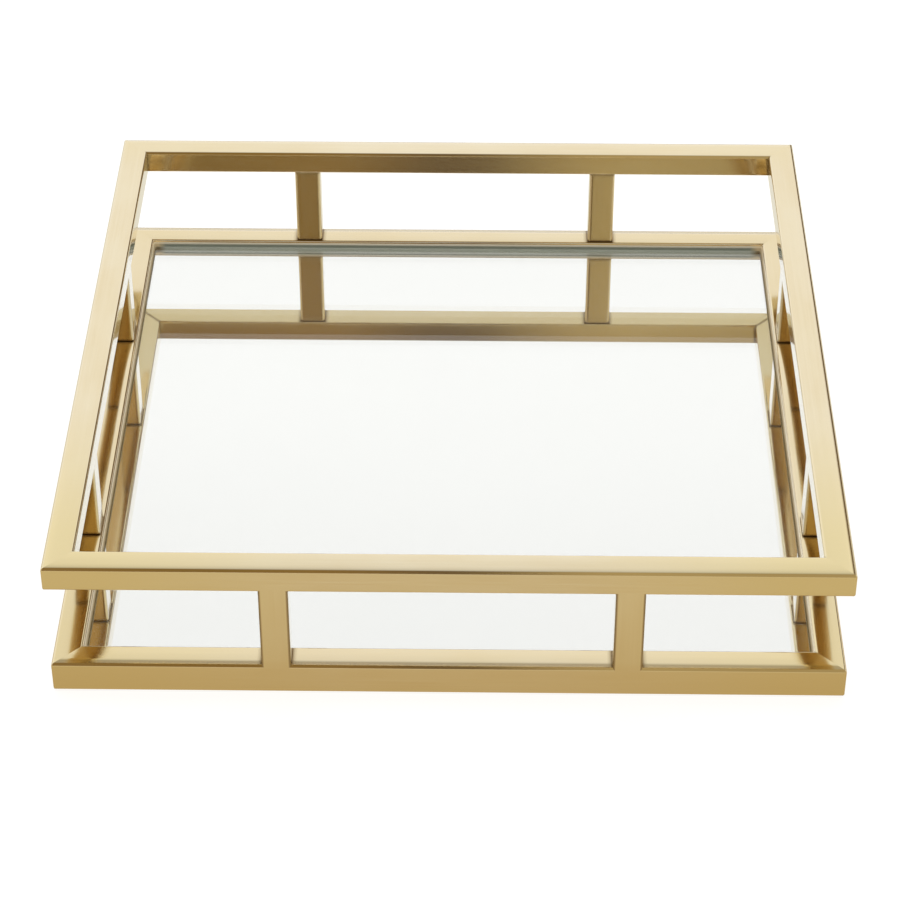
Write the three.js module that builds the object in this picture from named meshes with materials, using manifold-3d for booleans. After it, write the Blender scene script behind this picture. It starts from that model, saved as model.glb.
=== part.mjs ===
// Square gallery tray: two rings of gold square tube, eight posts between them and a mirror floor.
// Millimetres, +Z up, +Y to the back. The origin is the centre of the footprint, on the surface the
// tray stands on.
import * as THREE from "three";
import { mergeVertices } from "three/addons/utils/BufferGeometryUtils.js";
import Module from "manifold-3d";

const wasm = await Module();
wasm.setup();

// Driving dimensions
const SIDE = 356; // outer width and depth of both rings
const HEIGHT = 71.5; // top of the upper ring
const RING_LIFT = 0.5; // the pads hold the lower ring this far off the surface
const UPPER_TUBE = { width: 13.4, height: 12.2 }; // also the posts' tube, stood on end
const LOWER_TUBE = { width: 13.4, height: 15.5 };
const WALL = 1.2;
const CORNER_RADIUS = 1.5; // the tube's outer corners
const POST_CENTRES = [-77, 80]; // of a side's two posts, along it from its middle
const WELD_GAP = 0.05; // between two metal pieces that are welded together

const GLASS_THICKNESS = 4;
const GLASS_RECESS = 3.5; // glass top below the lower ring's top
const GLASS_EDGE_GAP = 0.5;
const GLASS_ARRIS = 0.4; // the small chamfer ground along the glass's edges
const GLUE_LINE = 0.05;
const BEAD = { height: 2.2, depth: 2 }; // up the ring's wall and down beside the glass

const BOARD_THICKNESS = 6;
const BOARD_EDGE_GAP = 0.8;
const TAB = { length: 16, reach: 11, thickness: 1.2 };
const TAB_CENTRES = [-78, 78];
const SCREW = { headRadius: 3, headHeight: 1.1, shankRadius: 1.3, length: 5.6, tip: 0.8, inset: 6.5 };
const SCREW_CLEARANCE = 0.3;
const PAD = { radius: 10, edge: 0.4, inset: 22 };

// Heights that follow from them
const LOWER_TOP = RING_LIFT + LOWER_TUBE.height;
const UPPER_BOTTOM = HEIGHT - UPPER_TUBE.height;
const GLASS_TOP = LOWER_TOP - GLASS_RECESS;
const GLASS_BOTTOM = GLASS_TOP - GLASS_THICKNESS;
const BOARD_BOTTOM = GLASS_BOTTOM - BOARD_THICKNESS;
const TAB_BOTTOM = BOARD_BOTTOM - TAB.thickness;
const OPENING = SIDE - 2 * LOWER_TUBE.width; // clear width inside the lower ring
const GLASS_SIDE = OPENING - 2 * GLASS_EDGE_GAP;
const BOARD_SIDE = OPENING - 2 * BOARD_EDGE_GAP;

// Each side is the front one turned about Z; its two ends are named as seen on the object.
const SIDES = [
  { name: "front", ends: ["left", "right"] },
  { name: "right", ends: ["front", "back"] },
  { name: "back", ends: ["right", "left"] },
  { name: "left", ends: ["back", "front"] },
];

const brushedGold = () =>
  new THREE.MeshStandardMaterial({ color: 0xd9bf8c, roughness: 0.28, metalness: 1 });
const mirror = () =>
  new THREE.MeshStandardMaterial({ color: 0xf2f5f4, roughness: 0.02, metalness: 1 });
const clearSealant = () =>
  new THREE.MeshStandardMaterial({ color: 0xc9cbc2, roughness: 0.4, metalness: 0 });
const fibreboard = () =>
  new THREE.MeshStandardMaterial({ color: 0x1d1b1a, roughness: 0.75, metalness: 0 });
const steel = () =>
  new THREE.MeshStandardMaterial({ color: 0x9c9a94, roughness: 0.4, metalness: 1 });
const felt = () =>
  new THREE.MeshStandardMaterial({ color: 0x26231f, roughness: 0.95, metalness: 0 });

function namedMesh(name, geometry, material) {
  const mesh = new THREE.Mesh(geometry, material);
  mesh.name = name;
  return mesh;
}

// A rectangle with rounded corners, drawn counterclockwise from (x, y).
function roundedRectangle(path, x, y, width, height, radius) {
  const right = x + width;
  const top = y + height;
  path.moveTo(x + radius, y);
  path.absarc(right - radius, y + radius, radius, -Math.PI / 2, 0, false);
  path.absarc(right - radius, top - radius, radius, 0, Math.PI / 2, false);
  path.absarc(x + radius, top - radius, radius, Math.PI / 2, Math.PI, false);
  path.absarc(x + radius, y + radius, radius, Math.PI, Math.PI * 1.5, false);
  return path;
}

// The tube's hollow section, with its outer lower left corner at the origin.
function tubeSection({ width, height }) {
  const section = roundedRectangle(new THREE.Shape(), 0, 0, width, height, CORNER_RADIUS);
  const bore = new THREE.Path();
  roundedRectangle(bore, WALL, WALL, width - 2 * WALL, height - 2 * WALL, CORNER_RADIUS - WALL);
  section.holes.push(bore);
  return section;
}

// One rail of a ring, along the front side. Section x runs inwards from the outer face, so each end
// recedes by the section's x to make the 45 degree mitre.
function railGeometry(tube, bottom) {
  const extrusion = { depth: 1, steps: 1, bevelEnabled: false, curveSegments: 4 };
  const geometry = new THREE.ExtrudeGeometry(tubeSection(tube), extrusion);
  const position = geometry.getAttribute("position");
  for (let i = 0; i < position.count; i++) {
    const inwards = position.getX(i);
    const up = position.getY(i);
    const end = position.getZ(i) - 0.5;
    const length = SIDE - 2 * inwards - 2 * WELD_GAP;
    position.setXYZ(i, end * length, inwards - SIDE / 2, bottom + up);
  }
  geometry.deleteAttribute("normal");
  geometry.computeVertexNormals();
  return geometry;
}

// A post on the front side, its outer face flush with the rings. The tube's wide faces look out.
function postGeometry(x) {
  const extrusion = {
    depth: UPPER_BOTTOM - LOWER_TOP - 2 * WELD_GAP,
    steps: 1,
    bevelEnabled: false,
    curveSegments: 4,
  };
  const geometry = new THREE.ExtrudeGeometry(tubeSection(UPPER_TUBE), extrusion);
  geometry.translate(x - UPPER_TUBE.width / 2, -SIDE / 2, LOWER_TOP + WELD_GAP);
  return geometry;
}

function squareShape(side) {
  const half = side / 2;
  const corners = [
    [-half, -half],
    [half, -half],
    [half, half],
    [-half, half],
  ];
  return new THREE.Shape(corners.map(([x, y]) => new THREE.Vector2(x, y)));
}

// Float glass: a plate with a small chamfer along every edge.
function glassGeometry() {
  const geometry = new THREE.ExtrudeGeometry(squareShape(GLASS_SIDE - 2 * GLASS_ARRIS), {
    depth: GLASS_THICKNESS - 2 * GLASS_ARRIS,
    bevelEnabled: true,
    bevelSegments: 1,
    bevelThickness: GLASS_ARRIS,
    bevelSize: GLASS_ARRIS,
  });
  geometry.translate(0, 0, GLASS_BOTTOM + GLASS_ARRIS);
  return geometry;
}

// The bead fills the gap round the glass and slopes up the ring's wall. A lathe of four segments,
// turned by half a segment, is a square ring whose section keeps its shape along each side.
function beadGeometry() {
  const outer = OPENING / 2 - GLUE_LINE;
  const beside = GLASS_SIDE / 2 + GLUE_LINE;
  const section = [
    [outer, GLASS_TOP - BEAD.depth],
    [outer, GLASS_TOP + BEAD.height],
    [beside, GLASS_TOP],
    [beside, GLASS_TOP - BEAD.depth],
    [outer, GLASS_TOP - BEAD.depth],
  ];
  const points = section.map(([x, z]) => new THREE.Vector2(x * Math.SQRT2, z));
  const geometry = new THREE.LatheGeometry(points, 4);
  geometry.rotateX(Math.PI / 2);
  geometry.rotateZ(Math.PI / 4);
  return geometry;
}

// Where the screws stand, as [x, y] on the front side.
const screwPlaces = TAB_CENTRES.map((x) => [x, -OPENING / 2 + SCREW.inset]);

function boardGeometry() {
  const shape = squareShape(BOARD_SIDE);
  for (let k = 0; k < SIDES.length; k++) {
    for (const [x, y] of screwPlaces) {
      const place = new THREE.Vector2(x, y).rotateAround(new THREE.Vector2(), (k * Math.PI) / 2);
      const pilot = new THREE.Path();
      pilot.absarc(place.x, place.y, SCREW.shankRadius + SCREW_CLEARANCE, 0, Math.PI * 2, true);
      shape.holes.push(pilot);
    }
  }
  const depth = BOARD_THICKNESS - 2 * GLUE_LINE;
  const geometry = new THREE.ExtrudeGeometry(shape, { depth, bevelEnabled: false, curveSegments: 8 });
  geometry.translate(0, 0, BOARD_BOTTOM + GLUE_LINE);
  return geometry;
}

// A solid of revolution about Z from [radius, z] pairs that run upwards.
function turned(section, segments) {
  const points = section.map(([radius, z]) => new THREE.Vector2(radius, z));
  return new THREE.LatheGeometry(points, segments).rotateX(Math.PI / 2);
}

function toSolid(geometry) {
  const bare = geometry.clone();
  bare.deleteAttribute("normal");
  bare.deleteAttribute("uv");
  const merged = mergeVertices(bare, 1e-4);
  return new wasm.Manifold(
    new wasm.Mesh({
      numProp: 3,
      vertProperties: merged.getAttribute("position").array,
      triVerts: new Uint32Array(merged.index.array),
    }),
  );
}

function toGeometry(solid) {
  const mesh = solid.getMesh();
  const geometry = new THREE.BufferGeometry();
  geometry.setAttribute("position", new THREE.BufferAttribute(mesh.vertProperties, 3));
  geometry.setIndex(new THREE.BufferAttribute(mesh.triVerts, 1));
  geometry.computeVertexNormals();
  return geometry;
}

// A tab with a countersunk hole, its screw's axis at the origin and its underside at z = 0.
function tabGeometry() {
  const plate = new THREE.BoxGeometry(TAB.length, TAB.reach - WELD_GAP, TAB.thickness);
  const outerEnd = WELD_GAP - SCREW.inset;
  plate.translate(0, outerEnd + (TAB.reach - WELD_GAP) / 2, TAB.thickness / 2);
  const wide = SCREW.headRadius + SCREW_CLEARANCE;
  const narrow = SCREW.shankRadius + SCREW_CLEARANCE;
  const past = 1; // the cutter runs out of both faces by this much
  const countersink = turned(
    [
      [0, -past],
      [wide, -past],
      [wide, 0],
      [narrow, SCREW.headHeight],
      [narrow, TAB.thickness + past],
      [0, TAB.thickness + past],
    ],
    24,
  );
  return toGeometry(toSolid(plate).subtract(toSolid(countersink)));
}

// A countersunk screw standing on its head, whose underside is at z = 0.
function screwGeometry() {
  return turned(
    [
      [0, 0],
      [SCREW.headRadius, 0],
      [SCREW.shankRadius, SCREW.headHeight],
      [SCREW.shankRadius, SCREW.length - SCREW.tip],
      [0, SCREW.length],
    ],
    24,
  );
}

function padGeometry() {
  const top = BOARD_BOTTOM;
  return turned(
    [
      [0, 0],
      [PAD.radius - PAD.edge, 0],
      [PAD.radius, PAD.edge],
      [PAD.radius, top],
      [0, top],
    ],
    36,
  );
}

function ring(name, tube, bottom) {
  const group = new THREE.Group();
  SIDES.forEach((side, k) => {
    const rail = namedMesh(`${name}_rail_${side.name}`, railGeometry(tube, bottom), brushedGold());
    rail.rotation.z = (k * Math.PI) / 2;
    group.add(rail);
  });
  return group;
}

// What each side carries at its two ends: a post, a tab and the tab's screw.
function sideFittings(side, k) {
  const group = new THREE.Group();
  side.ends.forEach((end, i) => {
    const [screwX, screwY] = screwPlaces[i];
    const post = namedMesh(
      `post_${side.name}_${end}`,
      postGeometry(POST_CENTRES[i]),
      brushedGold(),
    );
    const tab = namedMesh(`support_tab_${side.name}_${end}`, tabGeometry(), steel());
    const screw = namedMesh(`tab_screw_${side.name}_${end}`, screwGeometry(), steel());
    tab.position.set(screwX, screwY, TAB_BOTTOM);
    screw.position.set(screwX, screwY, TAB_BOTTOM);
    group.add(post, tab, screw);
  });
  group.rotation.z = (k * Math.PI) / 2;
  return group;
}

function floorPieces() {
  const group = new THREE.Group();
  group.add(namedMesh("mirror_glass", glassGeometry(), mirror()));
  group.add(namedMesh("sealant_bead", beadGeometry(), clearSealant()));
  group.add(namedMesh("backing_board", boardGeometry(), fibreboard()));
  const reach = BOARD_SIDE / 2 - PAD.inset;
  for (const [depth, y] of [["front", -reach], ["back", reach]]) {
    for (const [hand, x] of [["left", -reach], ["right", reach]]) {
      const pad = namedMesh(`felt_pad_${depth}_${hand}`, padGeometry(), felt());
      pad.position.set(x, y, 0);
      group.add(pad);
    }
  }
  return group;
}

const tray = new THREE.Group();
tray.add(ring("lower", LOWER_TUBE, RING_LIFT));
tray.add(ring("upper", UPPER_TUBE, UPPER_BOTTOM));
SIDES.forEach((side, k) => tray.add(sideFittings(side, k)));
tray.add(floorPieces());

export default tray;
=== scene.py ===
"""Looks for the square gallery tray: gold tube rings and posts round a mirror floor.

Metres, +Z up, +Y to the back. Rails and posts are built on the tray's front side, then turned
about Z.
"""

import math
from collections import namedtuple

import bpy
from mathutils import Matrix, Vector, noise


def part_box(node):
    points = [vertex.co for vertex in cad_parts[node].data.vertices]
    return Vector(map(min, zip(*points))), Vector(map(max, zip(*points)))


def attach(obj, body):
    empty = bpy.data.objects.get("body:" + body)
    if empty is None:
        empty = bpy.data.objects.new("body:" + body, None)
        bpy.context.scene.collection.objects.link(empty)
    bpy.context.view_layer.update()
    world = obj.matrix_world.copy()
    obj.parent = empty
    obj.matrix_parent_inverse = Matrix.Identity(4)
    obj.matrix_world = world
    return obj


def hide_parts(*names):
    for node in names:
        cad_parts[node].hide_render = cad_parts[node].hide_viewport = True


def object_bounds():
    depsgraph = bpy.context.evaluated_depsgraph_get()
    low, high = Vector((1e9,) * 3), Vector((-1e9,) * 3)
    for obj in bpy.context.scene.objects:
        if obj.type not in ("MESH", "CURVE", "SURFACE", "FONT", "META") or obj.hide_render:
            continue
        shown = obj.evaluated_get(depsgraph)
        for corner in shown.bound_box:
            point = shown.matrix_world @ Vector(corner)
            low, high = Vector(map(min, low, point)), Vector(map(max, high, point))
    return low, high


MM = 0.001

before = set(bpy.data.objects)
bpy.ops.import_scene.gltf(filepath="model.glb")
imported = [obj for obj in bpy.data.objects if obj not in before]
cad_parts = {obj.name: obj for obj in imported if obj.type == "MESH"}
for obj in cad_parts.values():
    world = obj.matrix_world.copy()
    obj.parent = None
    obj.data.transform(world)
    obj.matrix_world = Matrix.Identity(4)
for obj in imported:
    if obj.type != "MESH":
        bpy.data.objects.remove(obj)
CAD_LOW, CAD_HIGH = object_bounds()

# The tray's sizes, read from the frame
SIDES = ["front", "right", "back", "left"]
ENDS = {
    "front": ["left", "right"],
    "right": ["front", "back"],
    "back": ["right", "left"],
    "left": ["back", "front"],
}
UPPER_LOW, UPPER_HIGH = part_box("upper_rail_front")
LOWER_LOW, LOWER_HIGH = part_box("lower_rail_front")
POST_BOXES = [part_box("post_front_left"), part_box("post_front_right")]
GLASS_LOW, GLASS_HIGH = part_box("mirror_glass")
BEAD_LOW, BEAD_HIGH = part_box("sealant_bead")
HALF_SIDE = CAD_HIGH.x

# Sizes that only the fine surface needs
TUBE_RADIUS = 1.4 * MM
TUBE_WALL = 1.2 * MM
CORNER_STEPS = 8
CROWN = math.radians(2)  # polishing rolls each face over by this much where it meets the rounding
CROWN_REACH = 1.7 * MM
RIM_GAPS = [0.0, 0.7 * MM, 1.7 * MM, 2.3 * MM, 3.2 * MM, 5.0 * MM]  # in from the rounding's start
DARK_RIM_FROM, DARK_RIM_TO = math.radians(10), math.radians(15)  # leans between which the painted dark reflection along the outer edge comes in
# how dark the painted reflection along the outer edge gets
DARK_RIM_DEPTH = 0.27
RING_CORNER = 0.7 * MM  # the ring's upright corner edges, ground round after welding
MITRE_ZONE = 1.5 * MM  # how far before the neighbouring rail a rail's points start to fan out
MITRE_GROOVE = 0.3 * MM
POST_CREVICE = 0.35 * MM
WELD_GAP = 0.05 * MM  # what the CAD leaves between two tubes that are welded together
TINT_REACH = 1.2 * MM  # how far the weld's heat tint and the painted shade at its joint run
GLASS_ARRIS = 0.4 * MM
GLASS_CORNER = 1.5 * MM

# How a rail's top is polished: how far it leans out along the outer edge, in degrees at each of
# RIM_GAPS, its crown along the inner edge, and whether a dark reflection is painted along its outer
# edge. The whole top tips in towards the mirror by tilt, and at mid length by bow as well.
RailTop = namedtuple("RailTop", "outer_leans inner_crown worn tilt bow")
UPPER_TOP = RailTop([15, 10, 5.5, 4, 2.3, 0.6], CROWN, False, 0.0, 0.0)
LOWER_TOP = RailTop([17, 16.5, 16, 12, 3, 0.6], CROWN, True, math.radians(1.6), 0.0)
LOWER_SIDE_TOP = RailTop(
    [6, 4, 2.5, 2, 1.2, 0.4], math.radians(9), False, LOWER_TOP.tilt, math.radians(2.8)
)
# A deeper inner crown fades over this share of the half length, up to that place, to what is left
DEEP_CROWN_FADE, DEEP_CROWN_TO, DEEP_CROWN_LEFT = 0.25, 0.85, 0.2

# The photograph's viewpoint
CAMERA_PLACE = Vector((14.75, -1133.97, 878.96)) * MM
CAMERA_DROP = math.radians(37.814)  # below the horizon
CAMERA_TURN = math.radians(0.735)  # to the left of +Y
SENSOR = 36.0
CAMERA_LENS = 113.97


# ---------------------------------------------------------------- meshes


# A point of a tube's section: where it is, what it faces, and how far round it comes
LoopPoint = namedtuple("LoopPoint", "inwards up facing lean distance passed")


class Skin:
    """Points and faces gathered for a mesh. Each point has a normal and values for the gold."""

    def __init__(self):
        self.points, self.normals, self.grain, self.edge, self.tint_and_shade = [], [], [], [], []
        self.faces, self.sharp, self.slots = [], [], []

    def point(self, place, normal=(0, 0, 1), grain=(0, 0, 0), edge=0.0, tint_and_shade=0.0):
        self.points.append(Vector(place))
        self.normals.append(Vector(normal))
        self.grain.append(grain)
        self.edge.append(edge)
        self.tint_and_shade.append(tint_and_shade)
        return len(self.points) - 1

    def face(self, corners, sharp=False, slot=0):
        self.faces.append(corners)
        self.sharp.append(sharp)
        self.slots.append(slot)

    def bridge(self, first, second, sharp=False, slot=0):
        """Quads between two closed rings of points."""
        count = len(first)
        for i in range(count):
            j = (i + 1) % count
            self.face([first[i], first[j], second[j], second[i]], sharp, slot)

    def rim(self, inner, inner_loop, outer, outer_loop, flip=False):
        """The tube wall's cut end, between rings with the same corners but not the same points."""
        i, j = 0, 0
        while i < len(inner) or j < len(outer):
            here_in, here_out = inner[i % len(inner)], outer[j % len(outer)]
            next_in = inner_loop[i + 1].passed if i + 1 < len(inner) else math.inf
            next_out = outer_loop[j + 1].passed if j + 1 < len(outer) else math.inf
            if j >= len(outer) or (i < len(inner) and next_in <= next_out):
                corners = [here_in, here_out, inner[(i + 1) % len(inner)]]
                i += 1
            else:
                corners = [here_in, here_out, outer[(j + 1) % len(outer)]]
                j += 1
            self.face(corners if flip else corners[::-1], sharp=True)

    def finish(self, name, materials, turn=0.0, lay=None):
        """The object, turned about Z. Lay is the direction in which its metal is brushed."""
        mesh = bpy.data.meshes.new(name)
        spin = Matrix.Rotation(turn, 4, "Z")
        mesh.from_pydata([spin @ p for p in self.points], [], self.faces)
        for material in materials:
            mesh.materials.append(material)
        for polygon, slot in zip(mesh.polygons, self.slots):
            polygon.material_index = slot
            polygon.use_smooth = True
        mesh.update()
        corner_normals = []
        for polygon, sharp in zip(mesh.polygons, self.sharp):
            for index in polygon.vertices:
                smooth = spin.to_3x3() @ self.normals[index]
                corner_normals.append(polygon.normal if sharp else smooth)
        mesh.normals_split_custom_set([n.normalized() for n in corner_normals])
        grain = mesh.attributes.new("grain", "FLOAT_VECTOR", "POINT")
        grain.data.foreach_set("vector", [c for g in self.grain for c in g])
        for label, values in (("edge", self.edge), ("tint_and_shade", self.tint_and_shade)):
            mesh.attributes.new(label, "FLOAT", "POINT").data.foreach_set("value", values)
        if lay:
            brushing = mesh.attributes.new("lay", "FLOAT_VECTOR", "POINT")
            brushing.data.foreach_set("vector", list(spin.to_3x3() @ lay) * len(self.points))
        piece = bpy.data.objects.new(name, mesh)
        bpy.context.scene.collection.objects.link(piece)
        return piece


def section_loop(width, height, radius, inset=0.0, crown=0.0, rail_top=None):
    """A rounded rectangle as LoopPoints, from the foot of the outer face and on under the tube.

    Facing is the plain normal's angle. Lean is what polishing adds to it on each flat face, most
    beside the rounding. Passed counts the corners.
    """
    loop = []
    distance = 0.0
    last = None
    corners = [(0, 0, 180), (1, 0, 270), (1, 1, 0), (0, 1, 90)]
    inner_top, outer_top = 2, 3
    gaps = RIM_GAPS[1:] if crown else []
    for index, (right, top, start) in enumerate(corners):
        centre = (
            width - inset - radius if right else inset + radius,
            height - inset - radius if top else inset + radius,
        )
        spans = [side - 2 * (inset + radius) for side in (height, width)]
        before, after = spans if index % 2 == 0 else reversed(spans)
        next_crown = rail_top.inner_crown if rail_top and index == inner_top else crown
        spots = [(-gap, 0.0) for gap in reversed(gaps) if gap < 0.45 * before]
        spots += [(0.0, k / CORNER_STEPS) for k in range(CORNER_STEPS + 1)]
        spots += [(gap, 1.0) for gap in gaps if gap < 0.45 * after]
        for shift, share in spots:
            facing = math.radians(start + 90 * share)
            out_in, out_up = math.cos(facing), math.sin(facing)
            place = (
                centre[0] + radius * out_in - shift * out_up,
                centre[1] + radius * out_up + shift * out_in,
            )
            fading = math.exp(-abs(shift) / CROWN_REACH)
            lean = (crown * (1 - share) - next_crown * share) * fading
            if rail_top and index == outer_top and shift <= 0:
                outwards = math.radians(rail_top.outer_leans[RIM_GAPS.index(-shift)])
                lean = outwards * (1 - share) - crown * share
            if last:
                distance += math.dist(last, place)
            last = place
            loop.append(LoopPoint(*place, facing, lean, distance, index + share))
    return loop


def sweep(skin, loop, stations, surface, seed, flip=False):
    """Rings of points, one to a station. Surface gives their place, normal, along and tint."""
    rings = []
    for station in stations:
        ring = []
        for at in loop:
            spot, normal, along, tint = surface(station, at.inwards, at.up, at.facing, at.lean)
            normal = -normal if flip else normal
            edge = math.sin(math.pi * (at.passed % 1))
            ring.append(skin.point(spot, normal, (along, at.distance, seed), edge, tint))
        rings.append(ring)
    for first, second in zip(rings, rings[1:]):
        skin.bridge(first, second)
    return rings


def hollow_tube(name, width, height, rail_top, stations, surface, lay, seed, turn):
    """A tube with an open bore: outer skin, inner skin and a rim at each end."""
    skin = Skin()
    outer = section_loop(width, height, TUBE_RADIUS, crown=CROWN, rail_top=rail_top)
    bore = section_loop(width, height, TUBE_RADIUS - TUBE_WALL, inset=TUBE_WALL)
    outside = sweep(skin, outer, stations, surface, seed)
    inside = sweep(skin, bore, [stations[0], stations[-1]], surface, seed, flip=True)
    for face in skin.faces[-len(bore):]:
        face.reverse()
    skin.rim(inside[0], bore, outside[0], outer)
    skin.rim(inside[-1], bore, outside[-1], outer, flip=True)
    return skin.finish(name, [gold()], turn, lay)


# ---------------------------------------------------------------- gold tube


def rail_stations(zone, posts):
    """Places along a rail as (sign, along, share of the end zone, angle round the ring's corner).

    Zone is how far the rail's plain middle runs to each side. Points lie close beside each post.
    """
    spans = 24
    places = {round(-zone + 2 * zone * i / spans, 6) for i in range(spans + 1)}
    for low, high in posts:
        for past_edge in (-4, -2.4, -1.2, -0.4, 0, 0.8, 2, 4):
            places |= {round(low + past_edge * MM, 6), round(high - past_edge * MM, 6)}
    end = [(None, share, 0.0) for share in (0.2, 0.4, 0.6, 0.8, 0.92, 1.0)]
    end += [(None, 1.0, math.radians(9 * k)) for k in range(1, 6)]
    left = [(-1, *station) for station in reversed(end)]
    return left + [(1, place, None, 0.0) for place in sorted(places)] + [(1, *s) for s in end]


def rail(node, low, high, post_side, rail_top, seed, turn):
    """One mitred rail. post_side is +1 if its posts stand on its top, -1 if they hang below it."""
    width, height = high.y - low.y, high.z - low.z
    posts = [(box[0].x, box[1].x) for box in POST_BOXES]
    half = -low.y
    zone = half - width - MITRE_ZONE
    upwards = math.pi / 2

    def past_post(along):
        """How far a place is from the nearest post. It is below zero beside the post itself."""
        return min(max(start - along, along - end) for start, end in posts)

    def hidden_seam(out_in, out_up):
        """How much of the mitre's groove is left: all below, some inside, hardly any elsewhere."""
        return min(1.0, max(0.0, -out_up, out_in * 0.6) + 0.04)

    def surface(station, inwards, up, facing, lean):
        sign, along, share, angle = station
        # Where the rail ends: on the mitre's plane, and in front of it where the corner is rounded
        corner = max(RING_CORNER - inwards, 0.0)
        end = half - max(inwards, RING_CORNER) + corner * math.sin(math.pi / 4)
        arc_from = end - max(corner * math.sin(math.pi / 4), 0.25 * MM)
        if share is None:
            x = along
        else:
            x = zone + share * (arc_from - zone)
            x += (end - arc_from) * math.sin(angle) / math.sin(math.pi / 4)
        if rail_top.inner_crown > CROWN and facing == upwards and lean < 0:
            left = (DEEP_CROWN_TO - abs(x) / half) / DEEP_CROWN_FADE
            lean *= min(1.0, max(DEEP_CROWN_LEFT, left))
        beside = past_post(sign * x)
        if facing == math.pi and (up - height / 2) * post_side > 0:  # it runs level into the posts
            lean *= min(1.0, max(0.0, beside / (1.5 * MM)))
        out_in, out_up = math.cos(facing + lean), math.sin(facing + lean)
        at_mitre = angle > math.radians(44)
        pull = MITRE_GROOVE * hidden_seam(out_in, out_up) if at_mitre else 0.0
        depth = inwards - pull * out_in
        if corner:
            depth = RING_CORNER - corner * math.cos(angle) - pull * out_in
        spot = Vector((sign * x, low.y + depth, low.z + up - pull * out_up))
        turned_by = angle if out_in < 0 and corner else 0.0
        normal = Vector((-sign * out_in * math.sin(turned_by), out_in * math.cos(turned_by), out_up))
        normal.y += (rail_top.tilt + rail_top.bow * (1 - (x / half) ** 2)) * max(0.0, out_up)
        # the weld's heat tint beside each post, with painted shade at the joint
        rail_tint_and_shade = math.exp(-max(beside, 0.0) / TINT_REACH) if out_up * post_side > 0.9 else 0.0
        # painted dark reflection along the outer edge of the lower rails' tops, where they roll over
        if rail_top.worn and facing == upwards:
            dark_rim = (lean - DARK_RIM_FROM) / (DARK_RIM_TO - DARK_RIM_FROM)
            rail_tint_and_shade = max(rail_tint_and_shade, DARK_RIM_DEPTH * min(1.0, max(0.0, dark_rim)))
        # the mitre weld's heat tint, with painted shade in its groove
        seam = math.exp(-(end - x) / TINT_REACH) * hidden_seam(out_in, out_up)
        return spot, normal, sign * x, max(rail_tint_and_shade, seam)

    stations = rail_stations(zone, posts)
    lay = Vector((1, 0, 0))
    piece = hollow_tube(node + "_tube", width, height, rail_top, stations, surface, lay, seed, turn)
    return own(piece, node)


def post(node, box, seed, turn):
    """One upright of the upper ring's tube.

    Its outer face runs on as a lip over each rail's rounding, where the weld was ground flush. Its
    other faces turn in a little at the ends, which leaves the weld's crevice, coloured with heat
    tint and painted shade. The roundings beside its outer face carry painted dark reflections.
    """
    middle_spans = 8
    low, high = box
    width, depth, height = (high - low).x, (high - low).y, (high - low).z
    crevice = [(0.0, 1.0), (0.12, 0.6), (0.3, 0.15), (0.6, 0.0), (1.5, 0.0), (3.5, 0.0)]
    up_from_end = [(d * MM, g * POST_CREVICE) for d, g in crevice]
    stations = [(d, g, d) for d, g in up_from_end]
    middle = [height * k / middle_spans for k in range(1, middle_spans)]
    stations += [(d, 0.0, d) for d in middle]
    stations += [(height - d, g, d) for d, g in reversed(up_from_end)]

    def surface(station, across, inwards, facing, lean):
        along, groove, from_end = station
        if math.sin(facing) < -0.7:  # the outer face runs level into the rails
            lean *= min(1.0, from_end / (3 * MM))
        out_x, out_y = math.cos(facing + lean), math.sin(facing + lean)
        outer = min(1.0, max(0.0, (-out_y - 0.2) / 0.6))
        pull = groove * (1 - outer)
        lip = 0.0
        if from_end == 0.0:
            lip = WELD_GAP
            if inwards < TUBE_RADIUS:
                rounding = max(inwards, 0.0) * (2 * TUBE_RADIUS - inwards)
                lip += TUBE_RADIUS - math.sqrt(rounding)
        reach = along + (lip if along > height / 2 else -lip)
        at_x = low.x + across - pull * out_x
        at_y = low.y + inwards - pull * out_y
        spot = Vector((at_x, at_y, low.z + reach))
        # the weld's heat tint at each end, with painted shade in its crevice
        tint_and_shade = math.exp(-from_end / (0.8 * TINT_REACH)) * (1 - outer)
        # painted dark reflection on the roundings either side of the outer face
        painted_dark_edge = 1.5 * abs(out_x * out_y) if out_y < 0 else 0.0
        return spot, Vector((out_x, out_y, 0)), along, max(tint_and_shade, painted_dark_edge)

    lay = Vector((0, 0, 1))
    piece = hollow_tube(node + "_tube", width, depth, None, stations, surface, lay, seed, turn)
    for polygon in piece.data.polygons:
        polygon.flip()
    return own(piece, node)


def own(piece, node):
    """The piece replaces a CAD node and rides on the tray."""
    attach(piece, "root")
    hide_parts(node)
    return piece


# ---------------------------------------------------------------- mirror floor


def square_loop(half, radius, steps, straight):
    """Points round a square, with steps to each rounded corner and straight to each side."""
    loop = []
    radius = max(radius, 1e-5)
    for k in range(4):
        spin = Matrix.Rotation(k * math.pi / 2, 3, "Z")
        for i in range(straight):
            x = -(half - radius) + 2 * (half - radius) * i / straight
            loop.append(spin @ Vector((x, -half, 0)))
        for i in range(steps):
            angle = -math.pi / 2 + math.pi / 2 * i / steps
            corner = Vector((half - radius, radius - half, 0))
            loop.append(spin @ (corner + radius * Vector((math.cos(angle), math.sin(angle), 0))))
    return loop


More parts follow.
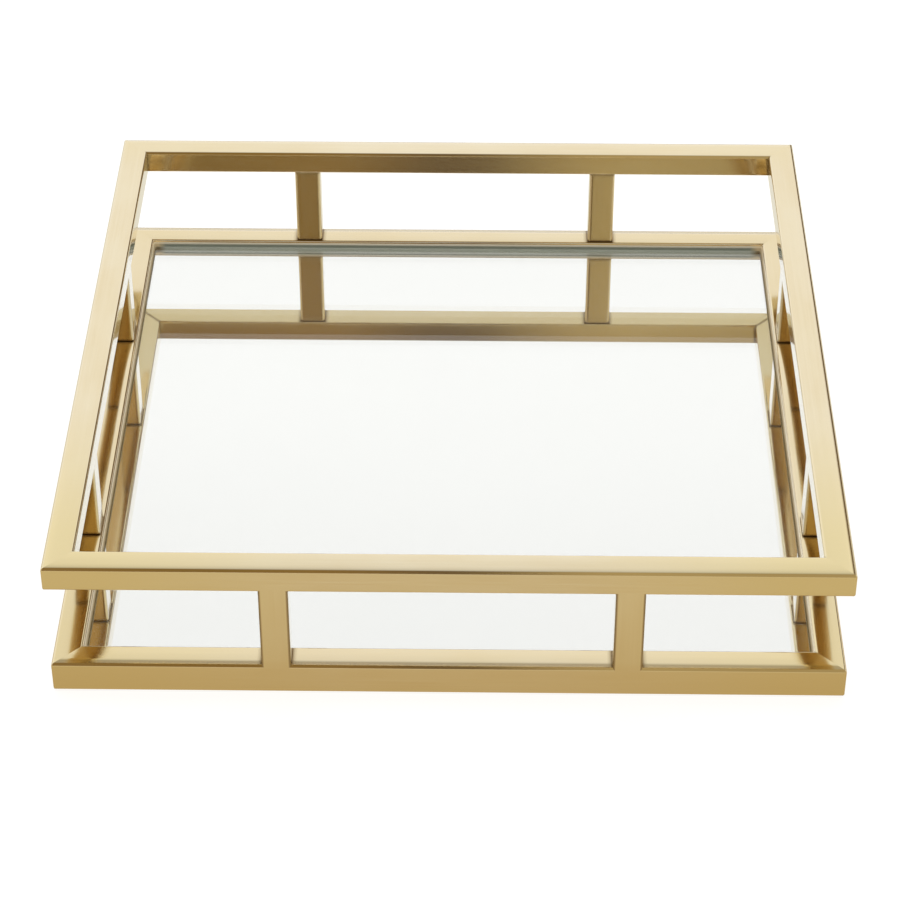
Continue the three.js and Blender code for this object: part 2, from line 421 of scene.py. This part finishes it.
def mirror_pane():
    """Back-silvered float glass with dubbed corners and a ground arris along each edge."""
    skin = Skin()
    half = GLASS_HIGH.x
    low, high = GLASS_LOW.z, GLASS_HIGH.z
    levels = [
        (half - GLASS_ARRIS, low),
        (half, low + GLASS_ARRIS),
        (half, high - GLASS_ARRIS),
        (half - GLASS_ARRIS, high),
    ]
    rings = []
    for reach, z in levels:
        loop = square_loop(reach, GLASS_CORNER, steps=6, straight=1)
        rings.append([skin.point((p.x, p.y, z), p.normalized(), (p.x, p.y, z)) for p in loop])
    for first, second in zip(rings, rings[1:]):
        skin.bridge(first, second, sharp=True, slot=1)
    skin.face(list(reversed(rings[0])), sharp=True, slot=2)
    skin.face(rings[-1], sharp=True, slot=0)
    piece = skin.finish("mirror_glass_pane", [clear_glass(), ground_glass(), silver()])
    return own(piece, "mirror_glass")


def bead():
    """Sealant in the gap round the glass, drawn up the ring's wall by the spatula."""
    skin = Skin()
    wall = BEAD_HIGH.x
    glass_top, height = GLASS_HIGH.z, BEAD_HIGH.z - GLASS_HIGH.z
    width = wall - GLASS_HIGH.x - 0.05 * MM
    tail = 0.75 * TUBE_RADIUS  # the film thins out over the tube's rounding
    film = 0.06 * MM
    fall_back = TUBE_RADIUS - math.sqrt(TUBE_RADIUS**2 - tail**2)
    rounding = LOWER_HIGH.z - TUBE_RADIUS
    section = [(0.0, BEAD_LOW.z), (0.0, rounding), (-fall_back, rounding + tail)]
    section += [(film - fall_back, rounding + tail), (0.1 * width, rounding)]
    fillet_steps = 6
    for k in range(1, fillet_steps + 1):
        share = k / fillet_steps
        section.append((width * (0.25 + 0.75 * share), glass_top + height * (1 - share) ** 1.8))
    section.append((width, BEAD_LOW.z))
    waves_per_metre, wave_depth = 55, 0.05 * MM
    rings = []
    for offset, z in section:
        ring = []
        on_show = z > glass_top + 0.01 * MM and offset > 0
        for p in square_loop(wall - offset, 0.3 * MM + 1.2 * offset, steps=8, straight=60):
            wave = noise.noise(Vector((p.x * waves_per_metre, p.y * waves_per_metre, 3.1)))
            drawn = wave_depth * wave if on_show else 0.0
            ring.append(skin.point((p.x, p.y, z - abs(drawn)), (0, 0, 1), (p.x, p.y, z)))
        rings.append(ring)
    for first, second in zip(rings, rings[1:] + rings[:1]):
        skin.bridge(first, second, sharp=True)
    piece = skin.finish("sealant_bead_fillet", [sealant()])
    return own(piece, "sealant_bead")


# ---------------------------------------------------------------- underside


def turned(skin, section, centre, segments, ripple=0.0):
    """A solid of revolution about a vertical axis, from (radius, height) pairs that run upwards.

    Ripple is how ragged it is, as a share of the radius, above its foot.
    """
    rings = []
    for radius, height in section:
        ring = []
        for k in range(segments):
            angle = 2 * math.pi * k / segments
            spot = Vector((math.cos(angle), math.sin(angle), 0)) * radius
            if ripple and 0 < height:
                spot *= 1 + ripple * noise.noise(spot * 900 + centre * 50)
            spot += centre + Vector((0, 0, height))
            ring.append(skin.point(spot, (math.cos(angle), math.sin(angle), 0), tuple(spot)))
        rings.append(ring)
    for first, second in zip(rings, rings[1:]):
        skin.bridge(first, second, sharp=True)
    skin.face(list(reversed(rings[0])), sharp=True)
    skin.face(rings[-1], sharp=True)
    return skin


def felt_pad(node):
    """A punched felt disc: pinched lower edge and a slightly ragged rim."""
    low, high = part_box(node)
    centre = Vector(((low.x + high.x) / 2, (low.y + high.y) / 2, low.z))
    radius, height = (high.x - low.x) / 2, high.z - low.z
    rim = 0.5 * MM
    section = [(radius - 3 * rim, 0.0)]
    pinch_steps = 4
    for k in range(pinch_steps + 1):
        angle = math.pi / 2 * k / pinch_steps
        section.append((radius - rim + rim * math.sin(angle), rim - rim * math.cos(angle)))
    section += [(radius, 0.6 * height), (radius - 0.1 * MM, height)]
    skin = turned(Skin(), section, centre, segments=96, ripple=0.012)
    return own(skin.finish(node + "_disc", [felt()]), node)


def tab_screw(node, turn):
    """A countersunk screw seen from below, with a cross recess cut in its head."""
    low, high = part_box(node)
    centre = Vector(((low.x + high.x) / 2, (low.y + high.y) / 2, low.z))
    head = (high.x - low.x) / 2
    length = high.z - low.z
    shank, head_height, tip = 1.3 * MM, 1.1 * MM, 0.8 * MM
    bevel, point = 0.12 * MM, 0.15 * MM
    section = [(head - bevel, 0.0), (head, bevel), (shank, head_height)]
    thread_from, pitch, thread_root = head_height + 0.3 * MM, 0.7 * MM, shank - 0.22 * MM
    for k in range(int((length - tip - thread_from) / pitch)):
        base = thread_from + k * pitch
        section += [(shank, base), (thread_root, base + 0.3 * pitch), (shank, base + 0.6 * pitch)]
    section += [(shank, length - tip), (point, length)]
    skin = turned(Skin(), section, centre, segments=32)
    piece = skin.finish(node + "_crosshead", [screw_steel()])
    cut_cross(piece, centre, turn)
    return own(piece, node)


def cut_cross(piece, centre, turn):
    """Cuts a tapered cross into the head with a boolean, then applies it."""
    arm, width, depth, taper = 1.5 * MM, 0.62 * MM, 0.75 * MM, 0.55
    below = Vector((0, 0, 0.3 * MM))
    cutter_skin = Skin()
    outline = []
    for k in range(4):
        spin = Matrix.Rotation(k * math.pi / 2 + turn, 3, "Z")
        outline += [spin @ Vector((width / 2, width / 2, 0)), spin @ Vector((width / 2, arm, 0))]
        outline += [spin @ Vector((-width / 2, arm, 0))]
    mouth = [cutter_skin.point(centre + p - below) for p in outline]
    floor = [cutter_skin.point(centre + p * taper + Vector((0, 0, depth))) for p in outline]
    cutter_skin.bridge(mouth, floor)
    cutter_skin.face(list(reversed(mouth)))
    cutter_skin.face(floor)
    cutter = cutter_skin.finish("cross_cutter", [])
    cut = piece.modifiers.new("cross", "BOOLEAN")
    cut.operation = "DIFFERENCE"
    cut.solver = "EXACT"
    cut.object = cutter
    evaluated = piece.evaluated_get(bpy.context.evaluated_depsgraph_get())
    cut_mesh = bpy.data.meshes.new_from_object(evaluated)
    piece.modifiers.clear()
    piece.data = cut_mesh
    bpy.data.objects.remove(cutter)


def dress_cad_node(node, material, bevel):
    """A CAD node whose shape is right keeps it, with eased edges and its own finish."""
    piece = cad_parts[node]
    piece.data.materials.clear()
    piece.data.materials.append(material)
    ease = piece.modifiers.new("eased_edges", "BEVEL")
    ease.width = bevel
    ease.segments = 2
    ease.limit_method = "ANGLE"
    ease.angle_limit = math.radians(40)


# ---------------------------------------------------------------- materials


class Nodes:
    """A material's node tree, with short calls to add and link nodes."""

    def __init__(self, name):
        self.material = bpy.data.materials.new(name)
        self.material.use_nodes = True
        self.start(self.material.node_tree, "ShaderNodeOutputMaterial")

    def start(self, tree, output):
        self.tree = tree
        tree.nodes.clear()
        self.output = self.add(output)

    @classmethod
    def within(cls, tree, output):
        """The same calls on a tree that isn't a new material's."""
        nodes = cls.__new__(cls)
        nodes.start(tree, output)
        return nodes

    def add(self, kind, **settings):
        node = self.tree.nodes.new(kind)
        for key, value in settings.items():
            setattr(node, key, value)
        return node

    def plug(self, source, target):
        self.tree.links.new(source, target)

    def value(self, target, source):
        if isinstance(source, (int, float, tuple)):
            target.default_value = source
        else:
            self.plug(source, target)

    def math(self, operation, first, second=0.0, clamp=False):
        node = self.add("ShaderNodeMath", operation=operation, use_clamp=clamp)
        self.value(node.inputs[0], first)
        self.value(node.inputs[1], second)
        return node.outputs[0]

    def place(self):
        """Where a point is on its piece, in metres."""
        return self.add("ShaderNodeTexCoord").outputs["Object"]

    def split(self, vector):
        """A vector's X, Y and Z."""
        node = self.add("ShaderNodeSeparateXYZ")
        self.plug(vector, node.inputs[0])
        return node.outputs

    def scaled(self, vector, scale):
        node = self.add("ShaderNodeVectorMath", operation="MULTIPLY")
        self.plug(vector, node.inputs[0])
        node.inputs[1].default_value = scale
        return node.outputs[0]

    def noise(self, vector, scale=1.0, detail=2.0, roughness=0.5):
        node = self.add("ShaderNodeTexNoise")
        self.plug(vector, node.inputs["Vector"])
        node.inputs["Scale"].default_value = scale
        node.inputs["Detail"].default_value = detail
        node.inputs["Roughness"].default_value = roughness
        return node.outputs["Fac"]

    def remap(self, source, low, high, to_low=0.0, to_high=1.0, **settings):
        node = self.add("ShaderNodeMapRange", **settings)
        self.plug(source, node.inputs["Value"])
        limits = {"From Min": low, "From Max": high, "To Min": to_low, "To Max": to_high}
        for key, number in limits.items():
            node.inputs[key].default_value = number
        return node.outputs["Result"]

    def mix(self, factor, first, second):
        node = self.add("ShaderNodeMix", data_type="RGBA")
        self.value(node.inputs["Factor"], factor)
        self.value(node.inputs["A"], first)
        self.value(node.inputs["B"], second)
        return node.outputs["Result"]

    def attribute(self, name, vector=False):
        node = self.add("ShaderNodeAttribute", attribute_name=name)
        return node.outputs["Vector" if vector else "Fac"]

    def bump(self, height, distance, strength=1.0, below=None):
        node = self.add("ShaderNodeBump")
        self.plug(height, node.inputs["Height"])
        node.inputs["Distance"].default_value = distance
        node.inputs["Strength"].default_value = strength
        if below:
            self.plug(below, node.inputs["Normal"])
        return node.outputs["Normal"]

    def unlit(self, kind, colour, strength=1.0):
        """An Emission or Background shader."""
        node = self.add("ShaderNode" + kind)
        self.value(node.inputs["Color"], colour)
        node.inputs["Strength"].default_value = strength
        return node.outputs[0]

    def show(self, to_camera, to_others):
        """One shader for the camera and another for reflections and light."""
        seen = self.add("ShaderNodeLightPath")
        choose = self.add("ShaderNodeMixShader")
        self.plug(seen.outputs["Is Camera Ray"], choose.inputs["Fac"])
        self.plug(to_others, choose.inputs[1])
        self.plug(to_camera, choose.inputs[2])
        self.plug(choose.outputs[0], self.output.inputs["Surface"])

    def principled(self, **inputs):
        node = self.add("ShaderNodeBsdfPrincipled")
        for key, source in inputs.items():
            self.value(node.inputs[key.replace("_", " ")], source)
        self.plug(node.outputs[0], self.output.inputs["Surface"])
        return self.material


def once(maker):
    """Each material is made the first time it is asked for."""
    made = []

    def wrapper():
        if not made:
            made.append(maker())
        return made[0]

    return wrapper


GOLD_TONE = (0.785, 0.678, 0.460, 1)
GOLD_DEEP = (0.755, 0.630, 0.395, 1)  # in clouds over the plain tone
GOLD_BURNISHED = (0.83, 0.73, 0.52, 1)  # along polishing streaks and rounded edges
GOLD_CORNER_SHADE = (0.765, 0.635, 0.335, 1)  # painted shade towards the tray's corners, mostly the front ones
GOLD_LOWER_SHADE = (0.735, 0.595, 0.34, 1)  # painted shade, mixed in on the lower ring
# weld oxide brown, also used for painted shade at the joints and painted dark reflections
TINT_AND_SHADE_BROWN = (0.17, 0.10, 0.04, 1)


@once
def gold():
    """Brushed, lacquered gold plate: grain along the tube, burnished edges, heat tint at welds.
    Painted shade at the joints, towards the corners and on the lower ring, and painted dark
    reflections along some edges.
    """
    n = Nodes("brushed_gold")
    grain = n.attribute("grain", vector=True)
    fine = n.noise(n.scaled(grain, (14, 5200, 31)), detail=3, roughness=0.65)
    streaks = n.noise(n.scaled(grain, (6, 900, 17)), detail=4, roughness=0.6)
    clouds = n.noise(n.scaled(grain, (22, 60, 11)), detail=3)
    waves = n.noise(n.scaled(grain, (16, 40, 5)), detail=1)
    edge = n.attribute("edge")
    tint_and_shade = n.attribute("tint_and_shade")
    tone = n.mix(n.remap(clouds, 0.35, 0.68), GOLD_TONE, GOLD_DEEP)
    tone = n.mix(n.math("MULTIPLY", n.remap(streaks, 0.4, 0.7), 0.35), tone, GOLD_BURNISHED)
    axes = n.split(n.place())
    across = n.math("ABSOLUTE", axes["X"])
    off_middle = n.remap(across, 0.3 * HALF_SIDE, 0.85 * HALF_SIDE)
    to_front = n.remap(axes["Y"], -0.35 * HALF_SIDE, -0.85 * HALF_SIDE)
    to_back = n.remap(axes["Y"], 0.85 * HALF_SIDE, HALF_SIDE, 0.0, 0.45)
    # painted shade: deeper gold towards the tray's corners, mostly the front ones
    corner_shade = n.math("MULTIPLY", off_middle, n.math("MAXIMUM", to_front, to_back))
    tone = n.mix(corner_shade, tone, GOLD_CORNER_SHADE)
    # painted shade mixed in on the lower ring
    lower = n.remap(axes["Z"], LOWER_HIGH.z + 1 * MM, LOWER_HIGH.z + 4 * MM, 0.35, 0.0)
    tone = n.mix(lower, tone, GOLD_LOWER_SHADE)
    tone = n.mix(n.math("MULTIPLY", edge, 0.45), tone, GOLD_BURNISHED)
    # heat tint at the welds, painted shade at the joints and painted dark reflections along edges
    tone = n.mix(n.remap(tint_and_shade, 0.15, 0.9, 0.0, 0.9), tone, TINT_AND_SHADE_BROWN)
    polish = n.remap(streaks, 0.3, 0.7, 0.085, 0.12)
    polish = n.math("ADD", polish, n.remap(fine, 0.3, 0.7, -0.01, 0.02))
    polish = n.math("ADD", polish, n.math("MULTIPLY", tint_and_shade, 0.2))
    relief = n.bump(fine, 0.0012 * MM)
    relief = n.bump(streaks, 0.003 * MM, below=relief)
    relief = n.bump(waves, 0.05 * MM, below=relief)
    return n.principled(
        Base_Color=tone, Metallic=1.0, Roughness=polish, Normal=relief, Anisotropic=0.4,
        Anisotropic_Rotation=0.25, Tangent=n.attribute("lay", vector=True),
        Coat_Weight=n.remap(tint_and_shade, 0.1, 0.7, 0.9, 0.0), Coat_Roughness=0.05,
    )


@once
def clear_glass():
    """The pane's polished face, with the green cast of float glass."""
    n = Nodes("float_glass")
    place = n.place()
    film = n.noise(place, scale=14, detail=4)
    haze = n.remap(film, 0.5, 0.8, 0.0, 0.012)
    return n.principled(
        Base_Color=(0.985, 0.995, 0.985, 1), Roughness=haze, IOR=1.52, Transmission_Weight=1.0
    )


def at_sides(n, axes):
    """1 along the glass's left and right edges, where the side rails' gold is painted in as a
    reflection.
    """
    off_middle = n.math("ABSOLUTE", axes["X"])
    return n.remap(off_middle, GLASS_HIGH.x - 6 * MM, GLASS_HIGH.x - 2 * MM)


@once
def ground_glass():
    """The pane's seamed edge: matt grey-green, with less light on it towards the foot, which is
    painted shade. It has painted reflections of the side rails' gold and a little painted glow.
    """
    n = Nodes("ground_glass_edge")
    place = n.place()
    grit = n.noise(place, scale=2600, detail=3)
    axes = n.split(place)
    # painted shade: darker towards the foot
    height = n.remap(axes["Z"], GLASS_LOW.z, GLASS_HIGH.z)
    tone = n.mix(height, (0.47, 0.54, 0.49, 1), (0.78, 0.83, 0.79, 1))
    tone = n.mix(n.math("MULTIPLY", n.noise(place, scale=60), 0.25), tone, (0.7, 0.74, 0.69, 1))
    # painted reflection of the side rails' gold, darker towards the foot
    gold_reflection = n.mix(height, (0.20, 0.14, 0.07, 1), (0.48, 0.42, 0.28, 1))
    tone = n.mix(at_sides(n, axes), tone, gold_reflection)
    # a little painted glow of its own makes the edge paler
    return n.principled(
        Base_Color=tone, Roughness=n.remap(grit, 0.3, 0.7, 0.4, 0.6), IOR=1.1,
        Normal=n.bump(grit, 0.02 * MM), Emission_Color=tone, Emission_Strength=0.14,
    )


@once
def silver():
    """Silvering seen through the pane."""
    n = Nodes("silvering")
    place = n.place()
    cloud = n.noise(place, scale=9, detail=3)
    tone = n.mix(cloud, (0.955, 0.957, 0.945, 1), (0.97, 0.97, 0.958, 1))
    return n.principled(Base_Color=tone, Metallic=0.9, Roughness=0.012)


@once
def sealant():
    """Sealant gone milky, rippled by the spatula, with painted shade in the crease along the glass,
    painted reflections of the gold at the sides and a little painted glow.
    """
    n = Nodes("clear_sealant")
    place = n.place()
    ripples = n.noise(place, scale=500, detail=3)
    milk = n.noise(place, scale=40, detail=3)
    axes = n.split(place)
    crease = n.remap(axes["Z"], GLASS_HIGH.z + 1.0 * MM, GLASS_HIGH.z + 1.7 * MM)
    tone = n.mix(milk, (0.62, 0.61, 0.54, 1), (0.74, 0.73, 0.67, 1))
    sides = at_sides(n, axes)
    # painted reflection of the side rails' gold
    tone = n.mix(sides, tone, (0.80, 0.71, 0.53, 1))
    # painted shade in the crease along the glass, gold-tinted at the sides
    crease_shade = n.mix(sides, (0.20, 0.235, 0.21, 1), (0.56, 0.48, 0.33, 1))
    tone = n.mix(crease, crease_shade, tone)
    # a little painted glow of its own makes the sealant paler
    return n.principled(
        Base_Color=tone, Roughness=n.remap(ripples, 0.3, 0.7, 0.3, 0.5), IOR=1.42,
        Normal=n.bump(ripples, 0.02 * MM), Emission_Color=tone, Emission_Strength=0.18,
    )


@once
def fibreboard():
    """Black-faced fibreboard with pressed fibres."""
    n = Nodes("black_fibreboard")
    place = n.place()
    fibres = n.noise(n.scaled(place, (900, 2600, 900)), detail=4, roughness=0.7)
    blotches = n.noise(place, scale=45, detail=3)
    tone = n.mix(blotches, (0.012, 0.011, 0.010, 1), (0.030, 0.027, 0.024, 1))
    tone = n.mix(n.remap(fibres, 0.62, 0.8, 0.0, 0.5), tone, (0.075, 0.06, 0.045, 1))
    return n.principled(
        Base_Color=tone, Roughness=n.remap(fibres, 0.3, 0.7, 0.55, 0.8),
        Normal=n.bump(fibres, 0.06 * MM),
    )


@once
def tab_steel():
    """The tabs are plated with the ring: duller gold and rolled grain."""
    n = Nodes("plated_tab")
    place = n.place()
    rolled = n.noise(n.scaled(place, (300, 3600, 300)), detail=3)
    blotches = n.noise(place, scale=240, detail=3)
    tone = n.mix(blotches, (0.60, 0.46, 0.26, 1), (0.72, 0.60, 0.38, 1))
    return n.principled(
        Base_Color=tone, Metallic=1.0, Roughness=n.remap(rolled, 0.3, 0.7, 0.28, 0.42),
        Normal=n.bump(rolled, 0.008 * MM),
    )


@once
def screw_steel():
    """Zinc-plated screws: pale, with blotchy plating."""
    n = Nodes("zinc_screw")
    place = n.place()
    blotches = n.noise(place, scale=700, detail=3)
    tone = n.mix(blotches, (0.55, 0.56, 0.57, 1), (0.72, 0.72, 0.70, 1))
    return n.principled(
        Base_Color=tone, Metallic=1.0, Roughness=n.remap(blotches, 0.3, 0.7, 0.22, 0.4),
        Normal=n.bump(blotches, 0.006 * MM),
    )


@once
def felt():
    """Charcoal felt: matted fibres with a soft sheen."""
    n = Nodes("charcoal_felt")
    place = n.place()
    fibres = n.noise(place, scale=2400, detail=5, roughness=0.75)
    mats = n.noise(place, scale=420, detail=3)
    tone = n.mix(fibres, (0.018, 0.017, 0.016, 1), (0.07, 0.066, 0.06, 1))
    relief = n.bump(fibres, 0.12 * MM)
    return n.principled(
        Base_Color=tone, Roughness=0.95, Sheen_Weight=0.5, Sheen_Roughness=0.6,
        Normal=n.bump(mats, 0.2 * MM, below=relief),
    )


# ---------------------------------------------------------------- studio

# Brightness against the angle in degrees up from the back horizon and over the zenith
SKY = [(0, 1.08), (36, 1.07), (42, 0.985), (55, 0.86), (70, 0.62), (90, 0.40), (180, 0.34)]
DARK_FROM, DARK_TO = 62.0, 98.0  # the angles between which the camera's side takes over
# The colours of that side against the X of the direction
CAMERA_SIDE = [
    (-0.50, (0.60, 0.50, 0.36)),
    (-0.20, (0.32, 0.22, 0.11)),
    (-0.09, (0.25, 0.160, 0.055)),
    (-0.055, (0.31, 0.20, 0.070)),
    (-0.01, (0.108, 0.074, 0.050)),
    (0.04, (0.53, 0.42, 0.215)),
    (0.10, (0.45, 0.36, 0.20)),
    (0.24, (0.58, 0.48, 0.30)),
    (0.50, (0.85, 0.78, 0.62)),
]
DOORWAY = (0.16, 0.10, 0.05, 1)  # a dark patch of the room, low down on the right
BACKDROP = (1.2, 1.2, 1.2, 1)  # what the camera sees behind the floor
FLOOR_PALE = (0.28, 0.28, 0.28, 1)  # takes the soft shadow
FLOOR_LIFT = 0.88  # and this much light of its own brings it up to white
# The floor as reflections see it
FLOOR_WARM = (0.715, 0.615, 0.43, 1)
# painted shade: the floor darker close round the tray
FLOOR_NEAR = (0.62, 0.50, 0.30, 1)
FLOOR_BEHIND = (0.83, 0.80, 0.69, 1)
FLOOR_BESIDE = (0.60, 0.45, 0.25, 1)  # in the tray's shade, close along its left and right sides


def ramp(nodes, source, stops):
    """A smooth colour ramp through (position 0 to 1, colour) stops."""
    node = nodes.add("ShaderNodeValToRGB")
    node.color_ramp.interpolation = "EASE"
    nodes.plug(source, node.inputs[0])
    elements = node.color_ramp.elements
    while len(elements) > 1:
        elements.remove(elements[-1])
    elements[0].position, elements[0].color = stops[0]
    for position, colour in stops[1:]:
        elements.new(position).color = colour
    return node.outputs["Color"]


def studio_world():
    """A white room behind the tray, dimmer overhead, with warm dark tones round the camera."""
    world = bpy.data.worlds.new("studio")
    bpy.context.scene.world = world
    world.use_nodes = True
    n = Nodes.within(world.node_tree, "ShaderNodeOutputWorld")
    direction = n.split(n.add("ShaderNodeTexCoord").outputs["Generated"])
    x, y, z = (direction[axis] for axis in "XYZ")
    over = n.math("DIVIDE", n.math("ARCTAN2", z, y), math.pi, clamp=True)
    white = ramp(n, over, [(angle / 180, (level, level, level, 1)) for angle, level in SKY])
    across = n.remap(x, -0.5, 0.5)
    dim = ramp(n, across, [(place + 0.5, (*colour, 1)) for place, colour in CAMERA_SIDE])
    round_camera = n.remap(over, DARK_FROM / 180, DARK_TO / 180, interpolation_type="SMOOTHSTEP")
    room = n.mix(round_camera, white, dim)
    top_of_doorway = n.remap(x, 0.57, 0.62, 0.56, 0.17)
    low = n.remap(n.math("SUBTRACT", z, top_of_doorway), -0.04, 0.06, 1.0, 0.0)
    right = n.remap(x, 0.34, 0.44)
    ends = n.remap(x, 0.62, 0.70, 1.0, 0.0)
    doorway = n.math("MULTIPLY", low, n.math("MULTIPLY", right, ends))
    room = n.mix(doorway, room, DOORWAY)
    n.show(n.unlit("Background", BACKDROP), n.unlit("Background", room))


def studio_floor():
    """A floor that the camera sees as white with a soft contact shadow, and reflections as warm."""
    skin = Skin()
    half, just_below = 6.0, -0.02 * MM
    corners = [(-half, -half), (half, -half), (half, half), (-half, half)]
    skin.face([skin.point((x, y, just_below)) for x, y in corners])
    skin.finish("studio_floor", [floor_card()])


def floor_card():
    """The floor's material: a pale card for the camera, and warm tones round the tray otherwise,
    with painted shade close round it.
    """
    n = Nodes("studio_floor")
    card = n.add("ShaderNodeBsdfDiffuse")
    card.inputs["Color"].default_value = FLOOR_PALE
    pale = n.add("ShaderNodeAddShader")
    n.plug(card.outputs[0], pale.inputs[0])
    n.plug(n.unlit("Emission", (1, 1, 1, 1), FLOOR_LIFT), pale.inputs[1])
    axes = n.split(n.place())
    across, deep = n.math("ABSOLUTE", axes["X"]), n.math("ABSOLUTE", axes["Y"])
    reach = n.math("MAXIMUM", across, deep)
    # painted shade close round the tray
    tone = n.mix(n.remap(reach, HALF_SIDE, HALF_SIDE + 70 * MM), FLOOR_NEAR, FLOOR_WARM)
    tone = n.mix(n.remap(axes["Y"], -100 * MM, HALF_SIDE), tone, FLOOR_BEHIND)
    beside = n.remap(across, HALF_SIDE + 14 * MM, HALF_SIDE + 24 * MM, 1.0, 0.0)
    along = n.remap(deep, HALF_SIDE - 20 * MM, HALF_SIDE, 1.0, 0.0)
    tone = n.mix(n.math("MULTIPLY", beside, along), tone, FLOOR_BESIDE)
    n.show(pale.outputs[0], n.unlit("Emission", tone))
    return n.material


def softbox():
    """A broad overhead light for the shadow and the matt pieces. Reflections don't see it."""
    light = bpy.data.lights.new("softbox", "AREA")
    light.shape = "RECTANGLE"
    light.size, light.size_y = 2.2, 1.6
    light.energy = 12
    lamp = bpy.data.objects.new("softbox", light)
    lamp.location = (-0.3, 0.5, 2.0)
    lamp.rotation_euler = (-lamp.location).to_track_quat("-Z", "Y").to_euler()
    lamp.visible_glossy = False
    lamp.visible_camera = False
    bpy.context.scene.collection.objects.link(lamp)


def camera():
    """The photograph's viewing angle."""
    data = bpy.data.cameras.new("camera")
    data.sensor_width = SENSOR
    data.lens = CAMERA_LENS
    data.clip_start, data.clip_end = 0.05, 30
    seat = bpy.data.objects.new("camera", data)
    turn = Matrix.Rotation(CAMERA_TURN, 4, "Z")
    tilt = Matrix.Rotation(math.pi / 2 - CAMERA_DROP, 4, "X")
    seat.matrix_world = Matrix.Translation(CAMERA_PLACE) @ turn @ tilt
    bpy.context.scene.collection.objects.link(seat)
    bpy.context.scene.camera = seat


# ---------------------------------------------------------------- assembly

# A seed is where a tube's finish starts in the noise, so that no two tubes are polished alike
for index, side in enumerate(SIDES):
    quarter = index * math.pi / 2
    seed = 1.3 * index
    rail(f"upper_rail_{side}", UPPER_LOW, UPPER_HIGH, -1, UPPER_TOP, seed, quarter)
    top = LOWER_SIDE_TOP if side in ("left", "right") else LOWER_TOP
    rail(f"lower_rail_{side}", LOWER_LOW, LOWER_HIGH, 1, top, 7.1 + seed, quarter)
    for number, end in enumerate(ENDS[side]):
        seed = 20.7 + 1.9 * (2 * index + number)
        post(f"post_{side}_{end}", POST_BOXES[number], seed, quarter)
        tab_screw(f"tab_screw_{side}_{end}", 0.6 * index + 1.1 * number)
        dress_cad_node(f"support_tab_{side}_{end}", tab_steel(), 0.15 * MM)

mirror_pane()
bead()
dress_cad_node("backing_board", fibreboard(), 0.3 * MM)
for depth in ("front", "back"):
    for hand in ("left", "right"):
        felt_pad(f"felt_pad_{depth}_{hand}")

studio_world()
studio_floor()
softbox()
camera()
bpy.context.scene.view_settings.view_transform = "Standard"
bpy.context.scene.cycles.glossy_bounces = 10
bpy.context.scene.cycles.max_bounces = 16
